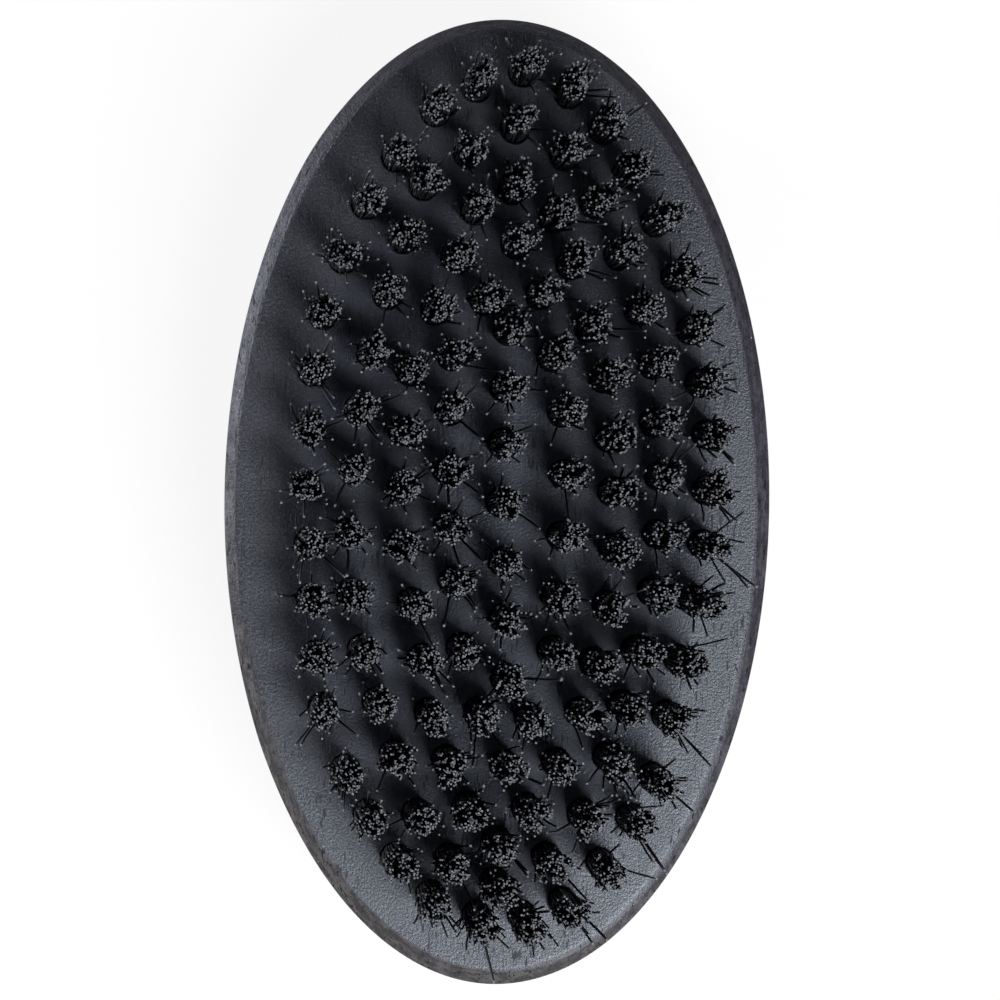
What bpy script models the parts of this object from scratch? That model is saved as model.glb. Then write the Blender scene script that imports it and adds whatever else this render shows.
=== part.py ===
"""Oval palm brush: a stained wooden block that fits the palm, with tufts of bristles set in concentric ovals.

The brush lies on its flat back with the bristles up. X runs across the block, Y along it and Z up out of the
bristles. The origin is the middle of the flat back. All sizes are in metres.
"""

import itertools
import math

import bmesh
import bpy
import numpy as np
from mathutils import Vector

# Wooden block
BLOCK_LENGTH = 0.101
BLOCK_WIDTH = 0.057
BLOCK_HEIGHT = 0.020
BACK_ROUND_REACH = 0.0115
BACK_ROUND_RISE = 0.0105
SIDE_LEAN = 0.0003
EDGE_BREAK_WIDTH = 0.0012
EDGE_BREAK_DEPTH = 0.0010
EDGE_SOFT_RADIUS = 0.0008
OUTLINE_STEPS = 72
BACK_ROUND_STEPS = 7
SOFT_CORNER_STEPS = 2
SHARP_ANGLE = math.radians(30)

# Rows of tufts: ovals inside one another, with a straight row along the middle
OUTER_ROW_SIDE_INSET = 0.0079
OUTER_ROW_END_INSET = 0.0062
ROW_END_PITCH = 0.00535
INNER_ROW_DRAWN_IN = 0.00195
MIDDLE_PITCHES = 1.25
OVAL_POWER = 1.85
OVAL_SAMPLES = 4001
ROW_NAMES = ("outer", "second", "third", "inner")
TUFT_SPACINGS = (0.00560, 0.00582, 0.00560, 0.00598)
ROW_SHIFTS_Y = (0.0, -0.0003, -0.0008, 0.0)
ROWS_SHIFT_X = 0.0004
MIDDLE_ROW_SPACING = 0.00595
MIDDLE_ROW_END_GAP = 0.0082

# Tufts
STRANDS_IN_TUFT = 4
STRAND_SIDES = 3
BRISTLE_LENGTH = 0.0140
BRISTLE_UNEVENNESS = 0.0006
ROOT_DEPTH = 0.0015
TUFT_ROOT_RADIUS = 0.00090
STRAND_ROOT_RADIUS = 0.00052
STRAND_TIP_RADIUS = 0.00046
STRAND_BOW = 0.00022
TUFT_LEAN = 0.00015
HEAD_CLEARANCE = 0.0002
SEED = 7

# Strips of the block that carry the tufts, each let into the groove of its row
TUFTS_ON_STRIP = 3
STRIP_WALL = 0.0002
STRIP_DEPTH = 0.0030
SEAT_GAP = 0.0003
CUTTER_RISE = 0.0020

# Colours
WOOD_COLOUR = (0.030, 0.030, 0.034)
BRISTLE_COLOUR = (0.010, 0.010, 0.011)


def clear_scene():
    for thing in list(bpy.data.objects):
        bpy.data.objects.remove(thing, do_unlink=True)


def make_material(name, colour, roughness):
    material = bpy.data.materials.new(name)
    material.use_nodes = True
    shader = material.node_tree.nodes["Principled BSDF"]
    shader.inputs["Base Color"].default_value = (*colour, 1.0)
    shader.inputs["Roughness"].default_value = roughness
    shader.inputs["Metallic"].default_value = 0.0
    material.diffuse_color = (*colour, 1.0)
    return material


def add_object(name, mesh, parent, materials):
    thing = bpy.data.objects.new(name, mesh)
    bpy.context.scene.collection.objects.link(thing)
    thing.parent = parent
    for material in materials:
        mesh.materials.append(material)
    return thing


def mesh_from(name, work):
    bmesh.ops.recalc_face_normals(work, faces=work.faces)
    mesh = bpy.data.meshes.new(name)
    work.to_mesh(mesh)
    work.free()
    return mesh


def rounded_corner(before, corner, after, radius):
    """The arc that rounds a corner of a profile, as points from one tangent point to the other."""
    before, corner, after = Vector(before), Vector(corner), Vector(after)
    way_in = (corner - before).normalized()
    way_out = (after - corner).normalized()
    turn = way_in.angle(way_out)
    reach = radius * math.tan(turn / 2)
    reach = min(reach, (corner - before).length / 2, (after - corner).length / 2)
    start = corner - way_in * reach
    end = corner + way_out * reach
    points = []
    for step in range(SOFT_CORNER_STEPS + 1):
        share = step / SOFT_CORNER_STEPS
        points.append((1 - share) ** 2 * start + 2 * share * (1 - share) * corner + share**2 * end)
    return points


def block_profile():
    """Inset from the widest outline and height, from the edge of the flat back up to the edge of the face."""
    points = []
    for step in range(BACK_ROUND_STEPS + 1):
        angle = math.pi / 2 * step / BACK_ROUND_STEPS
        inset = BACK_ROUND_REACH * (1 - math.sin(angle))
        height = BACK_ROUND_RISE * (1 - math.cos(angle))
        points.append(Vector((inset, height)))
    side_top = Vector((SIDE_LEAN, BLOCK_HEIGHT - EDGE_BREAK_DEPTH))
    face_edge = Vector((SIDE_LEAN + EDGE_BREAK_WIDTH, BLOCK_HEIGHT))
    face_inner = face_edge + Vector((EDGE_BREAK_WIDTH, 0.0))
    points += rounded_corner(points[-1], side_top, face_edge, EDGE_SOFT_RADIUS)
    points += rounded_corner(side_top, face_edge, face_inner, EDGE_SOFT_RADIUS)
    return points


def make_block(parent, materials):
    """The block as a loft of ovals, each the outline drawn in by the inset of the profile at its height."""
    work = bmesh.new()
    loops = []
    for inset, height in block_profile():
        loop = []
        for step in range(OUTLINE_STEPS):
            angle = 2 * math.pi * step / OUTLINE_STEPS
            x = (BLOCK_WIDTH / 2 - inset) * math.cos(angle)
            y = (BLOCK_LENGTH / 2 - inset) * math.sin(angle)
            loop.append(work.verts.new((x, y, height)))
        loops.append(loop)
    for lower, upper in zip(loops, loops[1:]):
        for here in range(OUTLINE_STEPS):
            after = (here + 1) % OUTLINE_STEPS
            work.faces.new((lower[here], lower[after], upper[after], upper[here]))
    work.faces.new(loops[0])
    work.faces.new(loops[-1])
    block = add_object("wood_block", mesh_from("wood_block", work), parent, materials)
    block.data.shade_smooth()
    block.data.set_sharp_from_angle(angle=SHARP_ANGLE)
    return block


def spaced_oval(half_width, half_length, shift_y, spacing):
    """Tuft centres at even steps along an oval, from its +Y end round by -X. Returns at least three."""
    angles = np.linspace(0, 2 * math.pi, OVAL_SAMPLES)
    sines, cosines = np.sin(angles), np.cos(angles)
    x = -half_width * np.sign(sines) * np.abs(sines) ** (2 / OVAL_POWER)
    y = half_length * np.sign(cosines) * np.abs(cosines) ** (2 / OVAL_POWER)
    run = np.concatenate([[0], np.cumsum(np.hypot(np.diff(x), np.diff(y)))])
    count = max(3, int(run[-1] / spacing))
    stops = run[-1] * np.arange(count) / count
    return [
        Vector((np.interp(stop, run, x) + ROWS_SHIFT_X, np.interp(stop, run, y) + shift_y))
        for stop in stops
    ]


def tuft_rows():
    """Each row as its name, its tuft centres and whether it closes on itself."""
    half_width = BLOCK_WIDTH / 2 - OUTER_ROW_SIDE_INSET
    half_length = BLOCK_LENGTH / 2 - OUTER_ROW_END_INSET
    innermost = len(ROW_NAMES) - 1
    side_pitch = half_width / (innermost + MIDDLE_PITCHES)
    rows = []
    for ring, row_name in enumerate(ROW_NAMES):
        drawn_in = INNER_ROW_DRAWN_IN if ring == innermost else 0.0
        reach = half_length - ring * ROW_END_PITCH - drawn_in
        side = half_width - ring * side_pitch
        rows.append((row_name, spaced_oval(side, reach, ROW_SHIFTS_Y[ring], TUFT_SPACINGS[ring]), True))
    gaps = max(1, round(2 * (reach - MIDDLE_ROW_END_GAP) / MIDDLE_ROW_SPACING))
    middle = [
        Vector((ROWS_SHIFT_X, (gaps / 2 - step) * MIDDLE_ROW_SPACING))
        for step in range(gaps + 1)
    ]
    rows.append(("middle", middle, False))
    return rows


def tuft_head_radius(rows):
    """How far the tips spread from a tuft's axis, so that the heads of the two nearest tufts stay apart."""
    centres = [centre for _, points, _ in rows for centre in points]
    pitch = min((here - there).length for here, there in itertools.combinations(centres, 2))
    return (pitch - HEAD_CLEARANCE) / 2 - TUFT_LEAN - STRAND_TIP_RADIUS


def band_edges(path, half_width, closed):
    """The two edges of a band along a path, mitred at its corners."""
    left, right = [], []
    last = len(path) - 1
    for index, point in enumerate(path):
        before = path[index - 1] if closed or index else None
        after = path[(index + 1) % len(path)] if closed or index < last else None
        way_in = (point - before).normalized() if before is not None else (after - point).normalized()
        way_out = (after - point).normalized() if after is not None else way_in
        normal_in = Vector((-way_in.y, way_in.x))
        normal_out = Vector((-way_out.y, way_out.x))
        mitre = (normal_in + normal_out).normalized()
        reach = half_width / mitre.dot(normal_in)
        left.append(point + mitre * reach)
        right.append(point - mitre * reach)
    return left, right


def band_prism(name, path, half_width, bottom, top, closed):
    """A band along a path, raised from bottom to top."""
    work = bmesh.new()
    edges = band_edges(path, half_width, closed)
    corners = [
        [work.verts.new((point.x, point.y, height)) for point in edge]
        for edge in edges
        for height in (bottom, top)
    ]
    left_low, left_high, right_low, right_high = corners
    around = (left_low, left_high, right_high, right_low)
    count = len(path)
    for here in range(count if closed else count - 1):
        after = (here + 1) % count
        for first, second in zip(around, around[1:] + around[:1]):
            work.faces.new((first[here], first[after], second[after], second[here]))
    if not closed:
        work.faces.new([side[0] for side in around])
        work.faces.new([side[-1] for side in around])
    return mesh_from(name, work)


def row_groove_path(points, closed, half_width):
    """The path of a row's groove: the tuft centres, run on past both ends of an open row."""
    if closed:
        return points
    onward = (points[0] - points[1]).normalized() * (half_width + SEAT_GAP)
    return [points[0] + onward, *points, points[-1] - onward]


def cut_groove(block, name, points, closed, half_width):
    """Lets the row's groove into the face of the block."""
    floor = BLOCK_HEIGHT - STRIP_DEPTH - SEAT_GAP
    path = row_groove_path(points, closed, half_width)
    mesh = band_prism(name, path, half_width + SEAT_GAP, floor, BLOCK_HEIGHT + CUTTER_RISE, closed)
    cutter = add_object(name, mesh, block, [])
    cutter.hide_render = True
    cutter.display_type = "WIRE"
    cut = block.modifiers.new(name, "BOOLEAN")
    cut.operation = "DIFFERENCE"
    cut.solver = "EXACT"
    cut.object = cutter


def strip_path(points, first, last, closed, half_width):
    """The path of the strip under tufts first to last. It ends half way to the next tuft, or past the row's end."""
    count = len(points)
    inside = points[first : last + 1]
    joins_before = closed or first > 0
    joins_after = closed or last < count - 1
    if joins_before:
        step = points[first - 1] - inside[0]
        start = inside[0] + step / 2 - step.normalized() * SEAT_GAP / 2
    else:
        start = inside[0] + (inside[0] - inside[1]).normalized() * half_width
    if joins_after:
        step = points[(last + 1) % count] - inside[-1]
        end = inside[-1] + step / 2 - step.normalized() * SEAT_GAP / 2
    else:
        end = inside[-1] + (inside[-1] - inside[-2]).normalized() * half_width
    return [start, *inside, end]


def add_strand(work, root, tip, bow, turn):
    """One closed strand that tapers from root to tip. A bow draws its middle in towards the tuft's axis."""
    stations = [(root, STRAND_ROOT_RADIUS)]
    if bow is not None:
        stations.append(((root + tip) / 2 + bow, (STRAND_ROOT_RADIUS + STRAND_TIP_RADIUS) / 2))
    stations.append((tip, STRAND_TIP_RADIUS))
    loops = []
    for middle, radius in stations:
        loop = []
        for side in range(STRAND_SIDES):
            angle = turn + 2 * math.pi * side / STRAND_SIDES
            offset = Vector((math.cos(angle), math.sin(angle), 0.0)) * radius
            loop.append(work.verts.new(middle + offset))
        loops.append(loop)
    for lower, upper in zip(loops, loops[1:]):
        for here in range(STRAND_SIDES):
            after = (here + 1) % STRAND_SIDES
            work.faces.new((lower[here], lower[after], upper[after], upper[here]))
    work.faces.new(loops[0])
    work.faces.new(loops[-1])


def add_tuft(work, centre, head_radius, draw):
    """The strands of one tuft: rooted close together, spread at the head, with the whole head leaning a little."""
    turn = draw.uniform(0, 2 * math.pi)
    lean_angle = draw.uniform(0, 2 * math.pi)
    lean = Vector((math.cos(lean_angle), math.sin(lean_angle), 0.0)) * TUFT_LEAN * math.sqrt(draw.uniform())
    foot = Vector((centre.x, centre.y, BLOCK_HEIGHT - ROOT_DEPTH))
    for strand in range(STRANDS_IN_TUFT):
        angle = turn + 2 * math.pi * strand / STRANDS_IN_TUFT
        outward = Vector((math.cos(angle), math.sin(angle), 0.0))
        rise = ROOT_DEPTH + BRISTLE_LENGTH - draw.uniform(0, BRISTLE_UNEVENNESS)
        root = foot + outward * TUFT_ROOT_RADIUS
        tip = foot + lean + outward * head_radius + Vector((0.0, 0.0, rise))
        bow = outward * -STRAND_BOW if strand % 2 else None
        add_strand(work, root, tip, bow, angle)


def fuse(thing, mesh):
    """Joins a mesh to an object's own, as one body."""
    other = add_object(mesh.name, mesh, None, list(thing.data.materials))
    join = thing.modifiers.new("fuse", "BOOLEAN")
    join.operation = "UNION"
    join.solver = "EXACT"
    join.object = other
    seen = thing.evaluated_get(bpy.context.evaluated_depsgraph_get())
    fused = bpy.data.meshes.new_from_object(seen)
    thing.modifiers.clear()
    thing.data = fused
    bpy.data.objects.remove(other, do_unlink=True)


def make_strip(name, path, centres, half_width, head_radius, draw, parent, materials):
    """A strip of the backing with its tufts standing on it."""
    bottom = BLOCK_HEIGHT - STRIP_DEPTH
    backing = band_prism(name, path, half_width, bottom, BLOCK_HEIGHT, closed=False)
    strip = add_object(name, backing, parent, materials)
    work = bmesh.new()
    for centre in centres:
        add_tuft(work, centre, head_radius, draw)
    tufts = mesh_from(f"{name}_strands", work)
    for face in tufts.polygons:
        face.material_index = 1
    fuse(strip, tufts)


def make_row(row_name, points, closed, head_radius, block, materials, draw):
    """One row: its groove in the block, and its strips of tufts lying in the groove."""
    half_width = TUFT_ROOT_RADIUS + STRAND_ROOT_RADIUS + STRIP_WALL
    cut_groove(block, f"{row_name}_row_groove", points, closed, half_width)
    strips = max(2, len(points) // TUFTS_ON_STRIP)
    for number, group in enumerate(np.array_split(np.arange(len(points)), strips), start=1):
        first, last = int(group[0]), int(group[-1])
        path = strip_path(points, first, last, closed, half_width)
        name = f"{row_name}_row_tufts_{number:02d}"
        centres = points[first : last + 1]
        make_strip(name, path, centres, half_width, head_radius, draw, block, materials)


def main():
    clear_scene()
    wood = make_material("stained_wood", WOOD_COLOUR, roughness=0.45)
    bristle = make_material("bristle", BRISTLE_COLOUR, roughness=0.5)
    brush = bpy.data.objects.new("palm_brush", None)
    bpy.context.scene.collection.objects.link(brush)
    block = make_block(brush, [wood])
    draw = np.random.default_rng(SEED)
    rows = tuft_rows()
    head_radius = tuft_head_radius(rows)
    for row_name, points, closed in rows:
        make_row(row_name, points, closed, head_radius, block, [wood, bristle], draw)


main()
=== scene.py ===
"""Oval palm brush: the finish of its stained wooden block and the bristles of its tufts.

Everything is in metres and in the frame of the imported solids: X runs across the block, Y along it
and Z up out of the bristles, with the origin in the middle of the flat back that the brush lies on.
"""

import math

import bmesh
import bpy
import numpy as np
from mathutils import Matrix, Vector


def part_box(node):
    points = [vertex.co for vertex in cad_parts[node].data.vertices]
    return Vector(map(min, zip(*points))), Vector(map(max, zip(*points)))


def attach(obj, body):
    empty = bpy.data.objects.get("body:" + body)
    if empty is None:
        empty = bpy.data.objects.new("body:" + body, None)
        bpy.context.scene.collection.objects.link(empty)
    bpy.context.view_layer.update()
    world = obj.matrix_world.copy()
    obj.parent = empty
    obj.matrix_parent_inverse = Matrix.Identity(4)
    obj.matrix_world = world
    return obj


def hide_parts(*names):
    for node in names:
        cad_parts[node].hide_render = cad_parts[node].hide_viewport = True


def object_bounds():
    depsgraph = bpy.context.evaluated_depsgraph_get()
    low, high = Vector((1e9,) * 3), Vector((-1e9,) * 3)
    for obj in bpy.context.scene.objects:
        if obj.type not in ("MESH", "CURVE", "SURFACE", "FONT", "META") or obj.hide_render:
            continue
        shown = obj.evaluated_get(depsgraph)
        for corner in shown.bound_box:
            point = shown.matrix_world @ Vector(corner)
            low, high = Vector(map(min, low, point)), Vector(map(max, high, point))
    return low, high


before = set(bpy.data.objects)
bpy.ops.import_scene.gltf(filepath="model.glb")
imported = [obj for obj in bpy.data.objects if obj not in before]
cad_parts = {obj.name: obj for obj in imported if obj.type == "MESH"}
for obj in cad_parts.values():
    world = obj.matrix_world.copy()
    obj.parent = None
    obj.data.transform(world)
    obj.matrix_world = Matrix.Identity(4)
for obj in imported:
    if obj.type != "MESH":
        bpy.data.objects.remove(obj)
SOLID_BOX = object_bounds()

MM = 0.001

# The photograph: its scale on the flat face, the pixel at the middle of that face, the pixel
# straight under the camera, how high the camera stood, read from how far the tufts seem to lean,
# and how far the brush is turned in the picture
PHOTO_SIZE = 1000
PIXELS_PER_METRE = 9650
FACE_CENTRE_PIXEL = (498.5, 501.0)
CAMERA_FOOT_PIXEL = (290.0, 490.0)
CAMERA_ABOVE_FACE = 0.440
BRUSH_TURN = math.radians(0.54)
SENSOR_WIDTH = 36.0
CLIP_NEAR, CLIP_FAR = 0.01, 50.0

# Stage: a round floor, the cove that turns it up and a backdrop, in pale paper with a faint tooth.
# The glow is the share of plain white in what the camera sees of it.
FLOOR_RADIUS = 1.4
FLOOR_RINGS = 4
COVE_RADIUS = 0.3
COVE_STEPS = 12
BACKDROP_HEIGHT = 0.4
STAGE_SIDES = 96
PAPER_TOOTH = ((0.5 * MM, 0.5 * MM, 0.5 * MM), 2.0)
PAPER_DARK, PAPER_LIGHT = (0.90, 0.90, 0.90), (0.94, 0.94, 0.94)
FLOOR_GLOW = 0.88

# Light: each lamp's name, degrees from straight up, degrees from +X towards +Y, distance, width and
# level. At level 1 a white surface that faces the lamp renders as white.
WORLD_LIGHT = 0.06
WORLD_COLOUR = (0.80, 0.84, 1.0, 1.0)
LAMPS = (
    ("key", 37, 304, 0.46, 0.29, 1.33),
    ("left_fill", 81, 163, 0.60, 0.22, 1.07),
    ("back_light", 50, 145, 0.60, 0.30, 0.06),
)
LAMP_TARGET = Vector((0.0, 0.0, 0.02))

# Block: its back is rounded up to the side, which leans in a little towards the face. The face's
# edge is broken by a slope, which has a small radius at its foot and a larger one at the face.
BLOCK_LOW, BLOCK_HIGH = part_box("wood_block")
BLOCK_WIDTH, BLOCK_LENGTH, BLOCK_HEIGHT = BLOCK_HIGH - BLOCK_LOW
BACK_ROUND_REACH = 11.5 * MM
BACK_ROUND_RISE = 10.5 * MM
SIDE_LEAN = 0.18 * MM
EDGE_BREAK_WIDTH = 1.44 * MM
EDGE_BREAK_DEPTH = 1.0 * MM
EDGE_LOWER_RADIUS = 0.3 * MM
EDGE_UPPER_RADIUS = 1.1 * MM
FACE_BORDER = 3 * EDGE_BREAK_WIDTH
FACE_LOOP_SHARE = 0.6

# How the slope's width, its upper radius and the sanding of the side vary round the outline: for
# each wave its count, its size and where it peaks, in degrees from +X towards +Y
EDGE_WAVES = (
    (1, 0.06 * MM, 122),
    (2, 0.20 * MM, 150),
    (3, 0.23 * MM, 18),
    (9, 0.025 * MM, 40),
    (17, 0.015 * MM, 200),
    (31, 0.008 * MM, 90),
)
EDGE_UPPER_WAVES = ((1, 0.45 * MM, 310), (2, 0.45 * MM, 265), (3, 0.35 * MM, 215))
SANDING_WAVES = (
    (2, 0.22 * MM, 180),
    (3, 0.16 * MM, 315),
    (7, 0.015 * MM, 130),
    (11, 0.008 * MM, 250),
)

# How finely the block is cut up, and the angle past which its edges stay crisp
OUTLINE_STEPS = 288
BACK_ROUND_STEPS = 20
SIDE_STEPS = 4
SOFT_CORNER_STEPS = 7
SHARP_ANGLE = math.radians(32)

# The wood's three materials, in the order of their index, with the gloss of each. The face has the
# first. The corner and the rim have the others, above these shares of rim, and the back has the
# rim's.
WOOD_GLOSSES = {"face": 0.95, "corner": 0.62, "rim": 0.34}
CORNER_FROM, RIM_FROM = 0.30, 0.85
RIM_MATERIAL = 2

# Rows of tufts, laid out as in the solids. All are then set over and stretched a little, to X and
# to Y.
OUTER_ROW_SIDE_INSET = 7.9 * MM
OUTER_ROW_END_INSET = 6.2 * MM
ROW_END_PITCH = 5.35 * MM
INNER_ROW_DRAWN_IN = 1.95 * MM
MIDDLE_PITCHES = 1.25
OVAL_POWER = 1.85
OVAL_SAMPLES = 4001
ROW_NAMES = ("outer", "second", "third", "inner")
TUFT_SPACINGS = (5.60 * MM, 5.82 * MM, 5.60 * MM, 5.98 * MM)
ROW_SHIFTS_Y = (0.0, -0.3 * MM, -0.8 * MM, 0.0)
ROWS_SHIFT_X = 0.4 * MM
MIDDLE_ROW_SPACING = 5.95 * MM
MIDDLE_ROW_END_GAP = 8.2 * MM
TUFTS_ON_STRIP = 3
ROWS_SET_OVER = np.array([0.25 * MM, -0.20 * MM])
ROWS_STRETCHED = np.array([1.006, 1.007])

# How far the real rows wander from these even ovals: for a few tufts of each row, counted from the
# +Y end round by -X, the millimetres across and along
ROW_WANDER = {
    "outer": (
        (0, 1.5, -0.1), (1, 1.8, 0.2), (2, 1.6, 1.7), (4, 0.3, 1.6), (6, -0.3, 1.0), (7, -0.3, 0.5),
        (8, 0.0, 0.2), (10, 0.3, 0.0), (12, -0.2, -0.3), (13, -0.85, -0.2), (14, -0.3, -1.1),
        (16, 0.0, -0.1), (17, 0.1, 0.3), (18, 0.2, 1.4), (19, -0.6, 1.2), (20, -1.1, -0.3),
        (22, -0.6, -1.0), (23, -0.4, -1.7), (24, -0.8, -0.9), (25, -0.9, -0.6), (26, -0.4, 0.0),
        (29, 0.4, 0.0), (32, 0.7, 0.0), (34, 0.0, 0.4), (36, 1.0, -0.3),
    ),
    "second": (
        (0, 0.6, -0.2), (1, 0.95, 0.0), (2, 0.0, 1.3), (4, 0.6, 1.0), (5, 0.3, 1.0), (7, 0.0, 0.7),
        (8, -0.55, 0.1), (9, -0.5, -0.2), (12, 0.0, 0.5), (13, 0.0, -0.1), (15, -0.7, 0.3),
        (17, -0.4, -0.1), (18, -0.35, 0.25), (19, -0.7, 0.1), (20, -0.5, -0.1), (21, 0.0, 0.1),
        (22, 0.1, 0.3), (24, 0.2, 0.0), (25, 0.8, 0.0), (26, 0.4, -0.2), (29, 0.5, -0.2),
    ),
    "third": (
        (0, 0.5, -0.5), (1, 0.9, 0.6), (2, 1.5, 0.9), (3, 1.1, 0.8), (4, -0.1, 0.0), (7, 0.4, -0.8),
        (9, 1.3, -1.2), (10, 0.8, -1.0), (11, 1.0, -0.6), (12, 0.8, -0.2), (14, -1.8, -0.3),
        (15, -1.3, -0.75), (16, -0.45, -0.9), (17, -0.4, -1.4), (18, 0.15, -1.15), (20, 0.3, -0.8),
        (22, 0.6, -0.6), (23, 0.1, -0.5), (24, -0.2, 0.1), (25, 0.4, -0.1),
    ),
    "inner": (
        (0, 0.9, 0.3), (1, 0.8, -0.6), (2, -0.9, -0.4), (3, -0.3, 0.2), (4, 0.2, 0.0),
        (6, 0.3, 1.2), (8, 0.6, 0.0), (9, 0.1, -0.5), (10, -0.7, -0.7), (11, 0.3, 0.3),
        (12, -0.3, -0.2), (14, 0.0, -0.2), (15, 0.2, 0.2), (16, -0.1, -0.3), (17, 0.1, -0.1),
    ),
    "middle": ((0, 0.15, -0.1), (3, -0.5, 0.1), (6, 0.1, -0.1)),
}

# Holes: the cutter stands out of the face, and opens each hole out a little there
HOLE_RADIUS = 1.5 * MM
HOLE_DEPTH = 4.5 * MM
HOLE_BREAK = 0.12 * MM
HOLE_SIDES = 24
CUTTER_RISE = 1.0 * MM

# Tufts: each is packed in its hole, on a spiral whose steps turn by the golden angle, and splays to
# an uneven head. A lobe of the head is a count round it and a share of its radius.
BRISTLE_LENGTH = SOLID_BOX[1].z - BLOCK_HEIGHT
ROOT_DEPTH = 3.0 * MM
ROOT_LEVEL = BLOCK_HEIGHT - ROOT_DEPTH
ROOT_RADIUS = 1.34 * MM
TUFT_PLACE_SPREAD = 0.10 * MM
TUFT_LEAN = 0.22 * MM
HEAD_RADIUS = 1.78 * MM
HEAD_RADIUS_SPREAD = 0.07
HEAD_LOBES = ((2, 0.20), (3, 0.13), (5, 0.08))
HEAD_LOBE_LEAST = 0.3
GOLDEN_HALF_TURNS = 3 - math.sqrt(5)
SEED = 11

# Strands: stations along each, how it splays and bows on the way, and how far up its end is painted
# paler, a painted highlight of light caught on the upper shaft
STRANDS_LEAST, STRANDS_MOST = 136, 163
STRAND_LENGTH = ROOT_DEPTH + BRISTLE_LENGTH
STRAND_RADIUS = 0.112 * MM
STRAND_RADIUS_SPREAD = 0.14
STRAND_TAPER = 0.94
STRAND_SIDES = 6
STATION_SHARES = np.array([0.0, 0.2, 0.4, 0.6, 0.8, 0.955, 1.0])
STATIONS = len(STATION_SHARES)
SPLAY_STRAIGHT = 0.25
SPLAY_POWER = 1.45
TIP_SPREAD = 0.05 * MM
TIP_BOW = 0.045 * MM
BOW_POWER = 1.5
TIP_CUT_TILT = 0.8
SHAFT_HIGHLIGHT_STOPS = (0.8, 0.955, 1.0)
SHAFT_HIGHLIGHT_SHARES = (0.0, 0.2, 1.0)

# Heights of the ends: a little uneven, and more strands are cut short on the low side of a tuft,
# where -1 is its tall edge and 1 its low edge
TIP_DROP_LEAST, TIP_DROP_MOST = 0.02 * MM, 1.0 * MM
TALL_SIDE_TURN = math.radians(-28)
TALL_SIDE_SPREAD = math.radians(25)
LOW_SIDE_STOPS = (-1.0, -0.2, 0.35, 0.8)
SHORT_SHARE_STOPS = (0.04, 0.28, 0.75, 0.97)
SHORT_CUT_LEAST, SHORT_CUT_MOST = 0.06, 0.33

# Clumps: ends are drawn together on short lines, then pushed apart until they stand side by side
CLUMPS = 16
CLUMP_HALF_LENGTH = 0.55 * MM
CLUMP_PULL_LEAST, CLUMP_PULL_MOST = 0.30, 0.85
TIP_GAP = 0.205 * MM
TIP_GAP_STEPS = 10
TIP_GAP_DAMPING = 0.5

# Whiskers lean out of a head in a few bundles, and strays lean out further. The more a strand
# leans, the lower it ends.
WHISKER_SHARE = 0.15
WHISKER_REACH = 0.55 * MM
WHISKER_BUNDLES = 5
BUNDLE_PULL = 0.8
BUNDLE_SPREAD = 0.15
STRAY_SHARE = 0.009
STRAY_REACH = 1.2 * MM
STRAY_REACH_MOST = 3.0 * MM
STRAY_BOW = 0.10 * MM
LEAN_LOWERS = 1.25

# The strays that stand out in the photograph are straighter and stouter, and each is rooted on the
# far side of its tuft. Its height is worked out in a few steps, for a lean of at most this share of
# its length.
STRAY_STOUTER = 0.15
STRAY_ROOT = 0.6
STRAY_SHORTER = 0.6 * MM
STRAY_LEAN_MOST = 0.8
STRAY_SOLVE_STEPS = 6

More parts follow.
